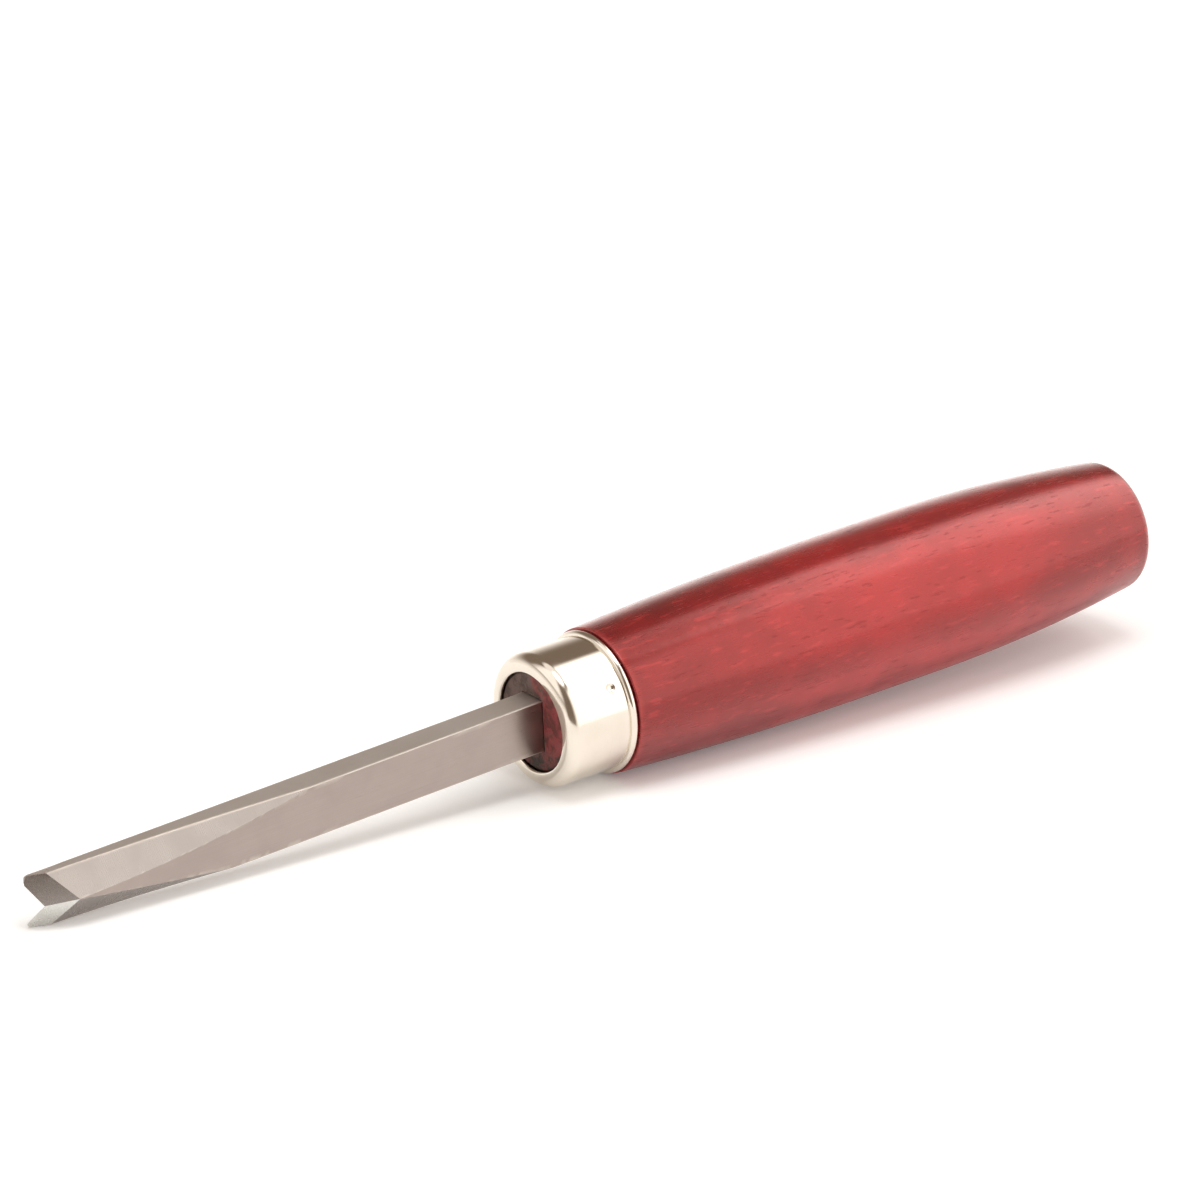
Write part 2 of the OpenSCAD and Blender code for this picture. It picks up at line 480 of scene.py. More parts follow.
class Effects:
    """Node groups for what more than one finish shows."""

    def __init__(self) -> None:
        """Builds each group once."""
        self.lines = self._lines()
        self.smudge = self._smudge()
        self.wear = self._wear()

    def patches(self, w: Wiring, place: Socket, patch: Patch) -> Socket:
        """Places broad uneven patches, given as their scale and the ends of their ramp."""
        return w.group(self.smudge, Place=place, Scale=patch[0], Low=patch[1], High=patch[2])[0]

    def worn(self, w: Wiring, place: Socket, amount: float) -> Socket:
        """Places rubbed edges of a given strength."""
        return w.group(self.wear, Place=place, Amount=amount)[0]

    @staticmethod
    def _begin(name: str, inputs: dict[str, Any], outputs: list[str]) -> tuple[Wiring, Any, Any]:
        """Starts a group.

        Args:
            name: Name of the group.
            inputs: Default of each input socket, a number or a vector.
            outputs: Names of the value outputs.

        Returns:
            The wiring, the group's input sockets and its output node.
        """
        tree = bpy.data.node_groups.new(name, "ShaderNodeTree")
        for key, default in inputs.items():
            kind = "NodeSocketVector" if isinstance(default, tuple) else "NodeSocketFloat"
            tree.interface.new_socket(key, in_out="INPUT", socket_type=kind).default_value = default
        for key in outputs:
            tree.interface.new_socket(key, in_out="OUTPUT", socket_type="NodeSocketFloat")
        wiring = Wiring(tree)
        source = tree.nodes.new("NodeGroupInput")
        sink = tree.nodes.new("NodeGroupOutput")
        return wiring, source.outputs, sink

    def _lines(self) -> bpy.types.NodeTree:
        """Fine lines left by a stone, a wheel or the grain, stretched along one way.

        Returns:
            The group.
        """
        inputs = {"Place": (0.0, 0.0, 0.0), "Stretch": (1.0, 1.0, 1.0), "Waver": 0.0}
        w, source, sink = self._begin("fine_lines", inputs, ["Lines", "Scratches"])
        drift = w.add("TexNoise", {"Vector": source["Place"], "Scale": 180.0, "Detail": 1.0}).outputs[1]
        pushed = w.add("VectorMath", {0: drift, 3: source["Waver"]}, operation="SCALE").outputs[0]
        moved = w.add("VectorMath", {0: source["Place"], 1: pushed}, operation="ADD").outputs[0]
        place = w.scaled(moved, source["Stretch"])
        fine = w.noise(place, 1.0, 3.0, 0.6)
        sparse = w.noise(w.scaled(place, (0.55, 0.55, 0.55)), 1.0, 1.0, 0.5)
        w.fill(sink, {0: fine, 1: w.ramp(sparse, 0.66, 0.80)})
        return w.tree

    def _smudge(self) -> bpy.types.NodeTree:
        """Broad uneven patches, as handling and stain leave.

        Returns:
            The group.
        """
        inputs = {"Place": (0.0, 0.0, 0.0), "Scale": 150.0, "Low": 0.35, "High": 0.65}
        w, source, sink = self._begin("smudges", inputs, ["Patches"])
        noise = w.noise(source["Place"], source["Scale"], 3.0)
        w.fill(sink, {0: w.ramp(noise, source["Low"], source["High"])})
        return w.tree

    def _wear(self) -> bpy.types.NodeTree:
        """Rubbed edges, broken up along their length.

        Returns:
            The group.
        """
        w, source, sink = self._begin("edge_wear", {"Place": (0.0, 0.0, 0.0), "Amount": 1.0}, ["Worn"])
        edge = w.add("Attribute", attribute_name=EDGE_LAYER).outputs["Fac"]
        broken = w.ramp(w.noise(source["Place"], 900.0, 3.0), 0.3, 0.7, 0.35, 1.0)
        w.fill(sink, {0: w.math("MULTIPLY", w.times(edge, broken), source["Amount"], clamp=True)})
        return w.tree


@dataclass(frozen=True)
class Finish:
    """A finish, made as a node material."""

    name: str

    def material(self, effects: Effects) -> bpy.types.Material:
        """Builds the material.

        Args:
            effects: The shared node groups.

        Returns:
            The material.
        """
        material = bpy.data.materials.new(self.name)
        material.use_nodes = True
        self.dress(Wiring(material.node_tree), effects)
        return material

    def dress(self, w: Wiring, effects: Effects) -> None:
        """Adds the nodes of the finish."""
        raise NotImplementedError


@dataclass(frozen=True)
class GroundSteel(Finish):
    """Tool steel with the lines of a grinding wheel or a stone."""

    lines: Axis
    colour: Colour = (0.355, 0.297, 0.272)
    bright: Colour = (0.58, 0.52, 0.47)
    roughness: float = 0.30
    line_depth: float = 0.0000010
    waver: float = 0.00001
    patch: Patch = (240.0, 0.38, 0.68)
    tarnish: float = 0.4
    dulled: float = 0.86
    line_shine: float = 0.2
    scratch_dark: float = 0.25
    edge_wear: float = 0.8
    line_rough: float = 0.16
    patch_rough: float = 0.05
    worn_rough: float = 0.18

    def dress(self, w: Wiring, effects: Effects) -> None:
        """Adds the nodes of the steel.

        Args:
            w: The wiring of the material.
            effects: The shared node groups.
        """
        place = w.place()
        lines = w.group(effects.lines, Place=place, Stretch=self.lines.value, Waver=self.waver)
        smudge = effects.patches(w, place, self.patch)
        worn = effects.worn(w, place, self.edge_wear)
        dull = tuple(self.dulled * c for c in self.colour)
        base = w.mix(w.times(smudge, self.tarnish), self.colour, dull)
        base = w.mix(w.times(lines["Lines"], self.line_shine), base, self.bright)
        base = w.mix(w.times(lines["Scratches"], self.scratch_dark), base, dull)
        base = w.mix(worn, base, self.bright)
        smoothest = self.roughness - self.line_rough / 2
        rough = w.plus(
            w.times(lines["Lines"], self.line_rough),
            smoothest,
            w.times(smudge, self.patch_rough),
            w.times(worn, self.worn_rough),
            clamp=True,
        )
        values = {"Base Color": base, "Roughness": rough, "Metallic": 1.0}
        w.surface(values, lines["Lines"], self.line_depth)


@dataclass(frozen=True)
class BrightPlate(Finish):
    """Bright plating over drawn sheet metal, with faint lines round it from polishing."""

    name: str = "bright_plate"
    colour: Colour = (0.79, 0.725, 0.64)
    dull: Colour = (0.73, 0.66, 0.565)
    roughness: float = 0.085
    line_stretch: Stretch = (6500.0, 90.0, 90.0)
    line_depth: float = 0.0000006
    waver: float = 0.00002
    patch: Patch = (320.0, 0.42, 0.72)
    patch_dark: float = 0.45
    scratch_dark: float = 0.25
    edge_wear: float = 0.6
    edge_dark: float = 0.92
    patch_rough: float = 0.07
    line_rough: float = 0.03

    def dress(self, w: Wiring, effects: Effects) -> None:
        """Adds the nodes of the plating.

        Args:
            w: The wiring of the material.
            effects: The shared node groups.
        """
        place = w.place()
        lines = w.group(effects.lines, Place=place, Stretch=self.line_stretch, Waver=self.waver)
        smudge = effects.patches(w, place, self.patch)
        worn = effects.worn(w, place, self.edge_wear)
        base = w.mix(w.times(smudge, self.patch_dark), self.colour, self.dull)
        base = w.mix(w.times(lines["Scratches"], self.scratch_dark), base, self.dull)
        base = w.mix(worn, base, tuple(self.edge_dark * c for c in self.dull))
        uneven = w.times(smudge, self.patch_rough)
        rough = w.plus(uneven, self.roughness, w.times(lines["Lines"], self.line_rough))
        values = {"Base Color": base, "Roughness": rough, "Metallic": 1.0}
        w.surface(values, lines["Lines"], self.line_depth)


@dataclass(frozen=True)
class StainedWood(Finish):
    """Close-grained wood, stained red and lacquered to a satin sheen.

    The specular tint and the high refraction stand for the sheen of the stained fibres under the lacquer.
    """

    name: str = "red_stained_wood"
    light: Colour = (0.315, 0.0115, 0.0145)
    deep: Colour = (0.115, 0.0055, 0.008)
    fleck: Colour = (0.43, 0.034, 0.036)
    pore: Colour = (0.055, 0.0028, 0.0038)
    rubbed: Colour = (0.42, 0.06, 0.058)
    roughness: float = 0.26
    ior: float = 2.3
    fibre: Colour = (1.0, 0.13, 0.11)
    coat_roughness: float = 0.14
    coat_ior: float = 1.37
    ring_gap: float = 1.7
    ring_wander: float = 1.6
    pith: tuple[float, float] = (31.0, -19.0)
    wander_stretch: Stretch = (28.0, 160.0, 160.0)
    pore_stretch: Stretch = (420.0, 2600.0, 2600.0)
    fleck_stretch: Stretch = (300.0, 1500.0, 1500.0)
    blotch: Patch = (170.0, 0.3, 0.72)
    edge_wear: float = 0.5
    ferrule_tone: Ramp = (0.010, 0.046, 0.6, -0.06)
    butt_tone: Ramp = (0.058, 0.082, 0.0, 0.38)
    rim_tone: Ramp = (0.0845, 0.0875, 0.0, 0.6)
    rest_side: tuple[float, float] = (-0.0015, -0.006)
    end_share: float = 0.75
    bump_depth: float = 0.000022

    def rings(self, w: Wiring, place: Socket) -> Socket:
        """Adds the growth rings, which lie about a pith far outside the turning.

        They show as long lines that wander on the sides and as arcs on the butt.

        Args:
            w: The wiring of the material.
            place: The place on the handle.

        Returns:
            How far into a ring's dark part a place lies.
        """
        split = w.add("SeparateXYZ", {0: place}).outputs
        wander = w.noise(w.scaled(place, self.wander_stretch), 1.0, 2.0)
        squares = [w.math("POWER", w.minus(split[i + 1], self.pith[i] * MM), 2.0) for i in (0, 1)]
        out = w.math("DIVIDE", w.math("SQRT", w.plus(*squares)), self.ring_gap * MM)
        return w.ramp(w.math("PINGPONG", w.plus(out, w.times(wander, self.ring_wander)), 1.0), 0.15, 0.95)

    def dress(self, w: Wiring, effects: Effects) -> None:
        """Adds the nodes of the stained wood.

        Args:
            w: The wiring of the material.
            effects: The shared node groups.
        """
        coords = w.add("TexCoord").outputs
        place = coords["Object"]
        along, _, up = w.add("SeparateXYZ", {0: place}).outputs
        ring_dark = self.rings(w, place)
        lines = w.group(effects.lines, Place=place, Stretch=GRAIN_STRETCH, Waver=GRAIN_WAVER)["Lines"]
        blotch = effects.patches(w, place, self.blotch)
        worn = effects.worn(w, place, self.edge_wear)
        pores = w.ramp(w.noise(w.scaled(place, self.pore_stretch), 1.0, 2.0, 0.55), 0.60, 0.70)
        flecks = w.ramp(w.noise(w.scaled(place, self.fleck_stretch), 1.0, 2.0, 0.6), 0.56, 0.72)
        facing = w.add("SeparateXYZ", {0: coords["Normal"]}).outputs[0]
        end = w.ramp(facing, 0.72, 0.96)
        side = w.minus(1.0, end)
        # Darker towards the ferrule, towards the butt and on the butt's rim
        tone = w.plus(
            w.times(ring_dark, 0.35),
            w.times(blotch, 0.45),
            w.times(lines, 0.2),
            w.ramp(along, *self.ferrule_tone),
            w.ramp(along, *self.butt_tone),
            w.times(w.ramp(along, *self.rim_tone), side),
            clamp=True,
        )
        base = w.mix(tone, self.light, self.deep)
        base = w.mix(w.times(flecks, 0.45), base, self.fleck)
        base = w.mix(w.times(pores, 0.4), base, self.pore)
        base = w.mix(worn, base, self.rubbed)
        # The butt shows end grain, with rings across it and open pores
        specks = w.ramp(w.noise(place, 3600.0, 2.0), 0.5, 0.62)
        sunk = w.mix(w.larger(w.times(ring_dark, 0.75), specks), self.deep, self.pore)
        base = w.mix(w.times(end, self.end_share), base, sunk)
        # The side that lies on the bench is rubbed dull
        under = w.ramp(up, *self.rest_side)
        rough = w.plus(
            w.times(pores, 0.12),
            w.times(blotch, 0.06),
            w.times(lines, 0.06),
            w.times(end, 0.3),
            w.times(under, 0.12),
            self.roughness - 0.05,
            clamp=True,
        )
        dry = w.plus(w.times(pores, 0.3), w.times(under, 0.6))
        height = w.minus(w.times(lines, 0.5), w.times(pores, 0.7))
        height = w.plus(height, w.times(w.noise(place, 330.0, 2.0), 2.0))
        values = {
            "Base Color": base,
            "Roughness": rough,
            "IOR": self.ior,
            "Specular Tint": (*self.fibre, 1.0),
            "Coat Weight": w.minus(side, dry, clamp=True),
            "Coat Roughness": self.coat_roughness,
            "Coat IOR": self.coat_ior,
        }
        w.surface(values, height, self.bump_depth)


@dataclass(frozen=True)
class BareWood(Finish):
    """The same wood inside the ferrule: no lacquer, dirt in mottled patches, the stain's red painted on the -Y
    side as light falling into the mouth, and painted shade towards the bottom.
    """

    name: str = "bare_wood"
    bare: Colour = (0.14, 0.088, 0.072)
    # The stain's red, painted on the -Y side where light falls into the mouth
    stained: Colour = (0.30, 0.056, 0.056)
    # Dark colour for dirt, grain scratches and painted shade
    dirt_and_shade: Colour = (0.04, 0.022, 0.015)
    roughness: float = 0.62
    # How fast the painted lighter red gives way to the bare tone across the mouth
    lit_side_slope: float = -45.0
    mottle: Patch = (950.0, 0.4, 0.64)
    # Painted shade, darker towards the bottom of the mouth
    low_shade: Ramp = (-0.0015, -0.0045, 0.0, 0.6)
    bump_depth: float = 0.00008

    def dress(self, w: Wiring, effects: Effects) -> None:
        """Adds the nodes of the bare wood.

        Args:
            w: The wiring of the material.
            effects: The shared node groups.
        """
        place = w.place()
        _, across, up = w.add("SeparateXYZ", {0: place}).outputs
        grain = w.group(effects.lines, Place=place, Stretch=GRAIN_STRETCH, Waver=GRAIN_WAVER)
        # The -Y side is painted in the stain's lighter red, as light falling into the mouth
        lit_side = w.plus(w.noise(place, 420.0, 3.0), w.times(across, self.lit_side_slope))
        base = w.mix(w.ramp(lit_side, 0.42, 0.62), self.bare, self.stained)
        mottle = effects.patches(w, place, self.mottle)
        # Dirt in mottled patches, plus painted shade darkening the face towards the bottom
        dirt_and_shade = w.plus(w.times(mottle, 0.6), w.ramp(up, *self.low_shade), clamp=True)
        base = w.mix(dirt_and_shade, base, self.dirt_and_shade)
        base = w.mix(w.times(grain["Scratches"], 0.4), base, self.dirt_and_shade)
        rough = w.plus(w.times(grain["Lines"], 0.2), self.roughness, clamp=True)
        values = {"Base Color": base, "Roughness": rough}
        w.surface(values, w.minus(grain["Lines"], mottle), self.bump_depth)


@dataclass(frozen=True)
class PaleFloor(Finish):
    """A plain white bench top that keeps the tool's shadow."""

    name: str = "pale_bench"
    colour: Colour = (0.935, 0.94, 0.945)
    glow: float = 0.12
    patch_scale: float = 14.0
    patch_share: float = 0.1
    patch_dark: float = 0.97

    def dress(self, w: Wiring, effects: Effects) -> None:
        """Adds the nodes of the bench top.

        Args:
            w: The wiring of the material.
            effects: The shared node groups, of which a plain bench takes none.
        """
        patches = w.times(w.noise(w.place(), self.patch_scale, 2.0), self.patch_share)
        colour = w.mix(patches, self.colour, tuple(self.patch_dark * c for c in self.colour))
        matt = w.add("BsdfDiffuse", {"Color": colour})
        path = w.add("LightPath").outputs
        seen = w.larger(path["Is Camera Ray"], path["Is Glossy Ray"])
        seen = w.larger(seen, path["Is Transmission Ray"])
        white = w.add("Emission", {"Strength": w.times(seen, self.glow)})
        both = w.add("AddShader", {0: matt.outputs[0], 1: white.outputs[0]})
        w.add("OutputMaterial", {0: both.outputs[0]})


@dataclass
class Piece:
    """One piece of the tool, which is drawn as a skin and dressed with its finishes."""

    NAME: ClassVar[str]
    CREASE: ClassVar[float]
    FINISHES: ClassVar[list[Finish]]

    sizes: ToolSizes

    def skin(self) -> Skin:
        """Gathers the faces of the piece in millimetres."""
        raise NotImplementedError

    def place(self) -> Matrix:
        """Where the piece's own axis lies in the row frame, in metres."""
        return self.sizes.laid()

    def build(self, effects: Effects) -> bpy.types.Object:
        """Builds and dresses the piece.

        Args:
            effects: The shared node groups.

        Returns:
            The piece.
        """
        materials = [finish.material(effects) for finish in self.FINISHES]
        return self.skin().piece(self.NAME, self.place(), self.CREASE, materials)


@dataclass(frozen=True)
class Grind:
    """One outer facet of the V: its length, how its line with the flat back curves, and its bevel's finish."""

    length: float
    back_hollow: float
    bevel: Zone


@dataclass
class Blade(Piece):
    """The steel blade: a flat bar ground to a V at the front, with a tapered tang inside the handle."""

    NAME = "blade_ground"
    CREASE = 26.0
    FINISHES = [
        GroundSteel("drawn_bar_steel", Axis.ALONG),
        GroundSteel("wheel_ground_steel", Axis.ACROSS, (0.34, 0.308, 0.29), roughness=0.27, line_depth=4e-7),
        GroundSteel("honed_bevel_steel", Axis.SLANTED, (0.405, 0.38, 0.37), roughness=0.25, line_depth=5e-7),
        # The lower bevel's steel is the honed steel painted lighter: a painted reflection of the bright bench
        # below the tip
        GroundSteel("bevel_steel_painted_lighter", Axis.SLANTED, (0.71, 0.71, 0.68), roughness=0.25, line_depth=5e-7),
        GroundSteel("groove_steel", Axis.ALONG, roughness=0.36),
        # The narrow sides and their rounded edges: rough rolled steel, its colour painted lighter as a painted
        # highlight along the edges
        GroundSteel("rolled_side_steel_painted_lighter", Axis.ALONG, (0.64, 0.59, 0.555), roughness=0.46),
    ]

    upper: Grind = Grind(32.0, 0.85, Zone.BEVEL)
    # The lower bevel takes the steel that is painted lighter
    lower: Grind = Grind(21.0, -0.15, Zone.PAINTED_LIGHT_BEVEL)
    v_angle: float = 100.0
    wing_t: float = 0.9
    groove_l: float = 32.0
    bevel_l: float = 3.9
    wing_lead: float = 1.25
    bevel_rise: float = 2.6
    edge_r: float = 0.13
    tip_edge_r: float = 0.05
    edge_ease_l: float = 16.0
    facet_hollow: tuple[float, float] = (3.55, 1.11)
    wear_w: float = 0.22
    straight: float = 0.75
    heel_close: float = 0.06
    across: int = 16
    round_steps: int = 4
    face_steps: int = 3
    back_steps: int = 6
    front_rows: int = 8
    facet_rows: int = 64
    facet_crowding: float = 1.1
    bar_rows: int = 20
    tang_rows: int = 6

    def __post_init__(self) -> None:
        """Works out the places that the grinding sets."""
        s = self.sizes
        self.half_w, self.half_t = s.bar_w / 2, s.bar_t / 2
        self.keel_x = s.tip_x + self.wing_lead
        self.heel_x = self.keel_x + self.bevel_l
        self.slope = math.tan(math.radians(self.v_angle / 2))
        self.floor_y = -self.half_t + self.wing_t / math.sin(math.radians(self.v_angle / 2))
        self.run_x = s.tip_x + self.groove_l
        self.shares = spaced(0.0, 1.0, self.across)
        self.rim_share = self._rim_share()
        nearest = min(range(1, self.across), key=lambda i: abs(self.shares[i] - self.rim_share))
        self.shares[nearest] = self.rim_share

    def groove_y(self, x: float) -> float:
        """Y of the groove's floor at X."""
        return lerp(self.floor_y, self.half_t, min((x - self.sizes.tip_x) / self.groove_l, 1.0))

    def ground(self, x: float, grind: Grind) -> float:
        """How far along a facet X is, from 0 where it starts to 1 at the heel."""
        return max((self.heel_x + grind.length - x) / grind.length, 0.0)

    def edge_y(self, x: float, grind: Grind) -> float:
        """Y of the outer edge of a facet at X, on its hollow-ground run."""
        t = self.ground(x, grind)
        return -self.half_t + self.facet_hollow[0] * t - self.facet_hollow[1] * t * t

    def back_z(self, x: float, half_w: float, grind: Grind) -> float:
        """How far the flat back reaches from the middle of the blade at X."""
        t = min(self.ground(x, grind), 1.0)
        return half_w * (1.0 - t) * (1.0 - grind.back_hollow * t)

    def edge_point(self, share: float) -> Vector:
        """A point of the cutting edge.

        Args:
            share: How far along the edge it lies, from 0 at the keel to 1 at the side of the wing.

        Returns:
            The point.
        """
        s, r = self.sizes, self.sizes.wing_corner_r
        corner = Vector((s.tip_x + r, 0.0, self.half_w - r))
        if share <= self.straight:
            keel, tip = Vector((self.keel_x, 0.0)), Vector((s.tip_x, self.half_w - r))
            x, z = lerp(keel, tip, share / self.straight)
        else:
            turn = math.radians(90.0) * (share - self.straight) / (1.0 - self.straight)
            x, z = corner.x - r * math.cos(turn), corner.z + r * math.sin(turn)
        return Vector((x, min(self.groove_y(x) + z / self.slope, self.half_t), z))

    def bevel_edge(self, share: float) -> Vector:
        """A point of the bevel's front outline: the cutting edge, and the foot of the wing's rounded corner.

        Args:
            share: How far along the edge it lies, from 0 at the keel to 1 at the side of the wing.

        Returns:
            The point.
        """
        point, keel, tip = self.edge_point(share), self.edge_point(0.0), self.edge_point(self.straight)
        along = (-self.half_t - keel.y) / self.bevel_l
        outward = (tip.y - keel.y - along * (tip.x - keel.x)) / tip.z
        point.y = min(point.y, keel.y + along * (point.x - keel.x) + outward * point.z)
        return point

    def heel_edge(self, share: float, grind: Grind) -> Vector:
        """A point of the line where a facet meets its bevel, from the heel to the side of the wing."""
        x = lerp(self.heel_x, self.sizes.tip_x + self.bevel_rise, share)
        return Vector((x, lerp(-self.half_t, self.edge_y(x, grind), share), self.half_w * share))

    def _rim_share(self) -> float:
        """Finds where on the cutting edge the groove meets the far face.

        Returns:
            The share of the cutting edge.
        """
        low, high = 0.0, 1.0
        for _ in range(40):
            middle = (low + high) / 2
            inside = self.edge_point(middle).y < self.half_t - 1e-6
            low, high = (middle, high) if inside else (low, middle)
        return high

    def section(self, x: float, grind: Grind) -> dict[str, Row]:
        """Half of the blade's outline at X, drawn as the upper half.

        Args:
            x: Where the blade is cut, behind the heel.
            grind: The facet of this half.

        Returns:
            Points on the back, the facet, the side of the bar and the far face with its groove.
        """
        half_t, half_w = self.sizes.tang_half(x)
        edge_y = self.edge_y(x, grind) if self.ground(x, grind) > 0.0 else -half_t
        back_z = self.back_z(x, half_w, grind)
        radius = lerp(self.tip_edge_r, self.edge_r, smooth((x - self.heel_x) / self.edge_ease_l))
        corner = Vector((x, edge_y, half_w))
        turn = Vector((x, -half_t, back_z))
        facet = (corner - turn).length
        if facet >= radius:
            start = lerp(corner, turn, radius / facet)
        else:
            start = Vector((x, -half_t, back_z - (radius - facet)))
        turn.z = min(turn.z, start.z)
        rim_z = min(max((half_t - self.groove_y(x)) * self.slope, 0.0), half_w) if x < self.run_x else 0.0
        # On the thin wings the roundings keep clear of each other
        near = min(radius, 0.35 * (half_t - edge_y))
        far = min(radius, 0.45 * (half_w - rim_z))
        side_a, side_b = Vector((x, edge_y + near, half_w)), Vector((x, half_t - near, half_w))
        top, stop = Vector((x, half_t, half_w)), Vector((x, half_t, half_w - far))
        close = min(self.wear_w / (side_b - side_a).length, 0.3)
        turns = spaced(0.0, 1.0, self.round_steps, 1)
        side = [bent(start, corner, side_a, t) for t in turns]
        side += [lerp(side_a, side_b, t) for t in spaced(close, 1.0 - close, self.face_steps)]
        side += [side_b]
        side += [bent(side_b, top, stop, t) for t in turns]
        flat = []
        inner = stop.z - min(self.wear_w, (stop.z - rim_z) / 2)
        for share in reversed(self.shares[:-1]):
            if share >= self.rim_share:
                z = lerp(rim_z, inner, (share - self.rim_share) / (self.shares[-2] - self.rim_share))
                flat.append(Vector((x, half_t, z)))
            else:
                z = rim_z * share / self.rim_share
                flat.append(Vector((x, half_t - (rim_z - z) / self.slope, z)))
        back = [Vector((x, -half_t, turn.z * i / self.back_steps)) for i in range(self.back_steps + 1)]
        return {"back": back, "facet": [lerp(turn, start, t) for t in self.shares], "side": side, "far": flat}

    def front(self, grind: Grind) -> dict[str, Row]:
        """The places where each column of a section ends at the bevel and the cutting edge.

        Args:
            grind: The facet of this half.

        Returns:
            Points in the same columns as a section's.
        """
        heel, a = self.heel_edge(0.0, grind), self.heel_edge(1.0, grind)
        foot, b = self.bevel_edge(1.0), self.edge_point(1.0)
        side = [lerp(a, foot, f) for f in self.bevel_shares()]
        side += spaced(foot, b, self.round_steps, 1)
        return {
            "back": [heel.copy() for _ in range(self.back_steps + 1)],
            "facet": [self.heel_edge(t, grind) for t in self.shares],
            "side": side,
            "far": [self.edge_point(t) for t in reversed(self.shares[:-1])],
        }

    def bevel_shares(self) -> list[float]:
        """How far from the heel to the bevel's front outline each row of the bevel lies."""
        near_heel = [self.heel_close * i / self.round_steps for i in range(1, self.round_steps + 1)]
        return near_heel + spaced(self.heel_close, 1.0, self.face_steps + 2, 1)

    def stations(self) -> list[float]:
        """Where the blade is cut into sections.

        Returns:
            X of each section from the heel to the end of the tang.
        """
        facet_x = self.heel_x + self.upper.length
        crowded = [t**self.facet_crowding for t in spaced(0.0, 1.0, self.facet_rows)]
        ground = [lerp(self.heel_x, facet_x, t) for t in crowded]
        ground += [self.run_x, self.heel_x + self.lower.length]
        bar = spaced(facet_x, self.sizes.tenon_set, self.bar_rows, 1)
        return sorted(ground) + bar + spaced(*self.sizes.tang_span, self.tang_rows)

    def half(self, grind: Grind) -> tuple[Skin, Row]:
        """Gathers the faces of one half of the blade, drawn as the upper half.

        Args:
            grind: The facet of this half.

        Returns:
            The faces, and the outline of the end of the tang.
        """
        skin, front, stations = Skin(), self.front(grind), self.stations()
        sections = [self.section(x, grind) for x in stations]
        first = sections[0]
        rows = [
            {k: [lerp(a, b, i / self.front_rows) for a, b in zip(front[k], first[k])] for k in front}
            for i in range(self.front_rows)
        ] + sections
        rounding = [1.0] * (self.round_steps + 1)
        side_worn = rounding + [0.0] * (self.face_steps + 1) + rounding
        far_worn = [1.0] + [0.0] * (len(self.shares) - 1)
        facet_worn = [0.7] + [0.0] * (len(self.shares) - 2) + [1.0]
        rim = len(self.shares) - 1 - self.shares.index(self.rim_share)

        def stretches(end_x: float, ground: Zone) -> list[tuple[list[dict[str, Row]], int]]:
            """The rows up to an X with a ground finish, and those behind it with the bar's own."""
            cut = self.front_rows + sum(1 for x in stations if x <= end_x + 1e-6)
            return [(rows[:cut], ground.value), (rows[cut - 1 :], Zone.BAR.value)]

        skin.patch([r["back"] for r in rows], Zone.BAR.value)
        skin.patch([r["facet"][-1:] + r["side"] for r in rows], Zone.SIDE.value, worn=side_worn)
        for part, zone in stretches(self.heel_x + grind.length, Zone.FACET):
            skin.patch([r["facet"] for r in part], zone, worn=facet_worn)
        for part, zone in stretches(self.run_x, Zone.GROOVE):
            far = [r["side"][-1:] + r["far"] for r in part]
            skin.patch([f[: rim + 1] for f in far], Zone.BAR.value, worn=far_worn[: rim + 1])
            skin.patch([f[rim:] for f in far], zone)
        heel = [self.heel_edge(t, grind) for t in self.shares]
        foot = [self.bevel_edge(t) for t in self.shares]
        bevel = [[lerp(a, b, f) for a, b in zip(heel, foot)] for f in [0.0] + self.bevel_shares()]
        skin.patch(bevel, grind.bevel.value)
        rounded = [(self.bevel_edge(t), self.edge_point(t)) for t in self.shares if t >= self.straight]
        wall = [[lerp(a, b, f) for a, b in rounded] for f in spaced(0.0, 1.0, self.round_steps)]
        skin.patch(wall, Zone.SIDE.value)
        end = sections[-1]
        return skin, end["back"] + end["facet"][1:] + end["side"] + end["far"]

    def skin(self) -> Skin:
        """Gathers the faces of the whole blade.

        Returns:
            The faces, in millimetres along the blade's own axis.
        """
        skin, end = self.half(self.upper)
        skin.add_mirrored(self.half(self.lower)[0])
        loop: Row = []
        for point in end + [Vector((p.x, p.y, -p.z)) for p in reversed(end[1:-1])]:
            if not loop or (point - loop[-1]).length > 1e-3:
                loop.append(point)
        skin.cap(loop, Zone.BAR.value)
        return skin

    def place(self) -> Matrix:
        """Where the blade's own axis lies in the row frame, in metres."""
        return self.sizes.laid() @ self.sizes.lean()


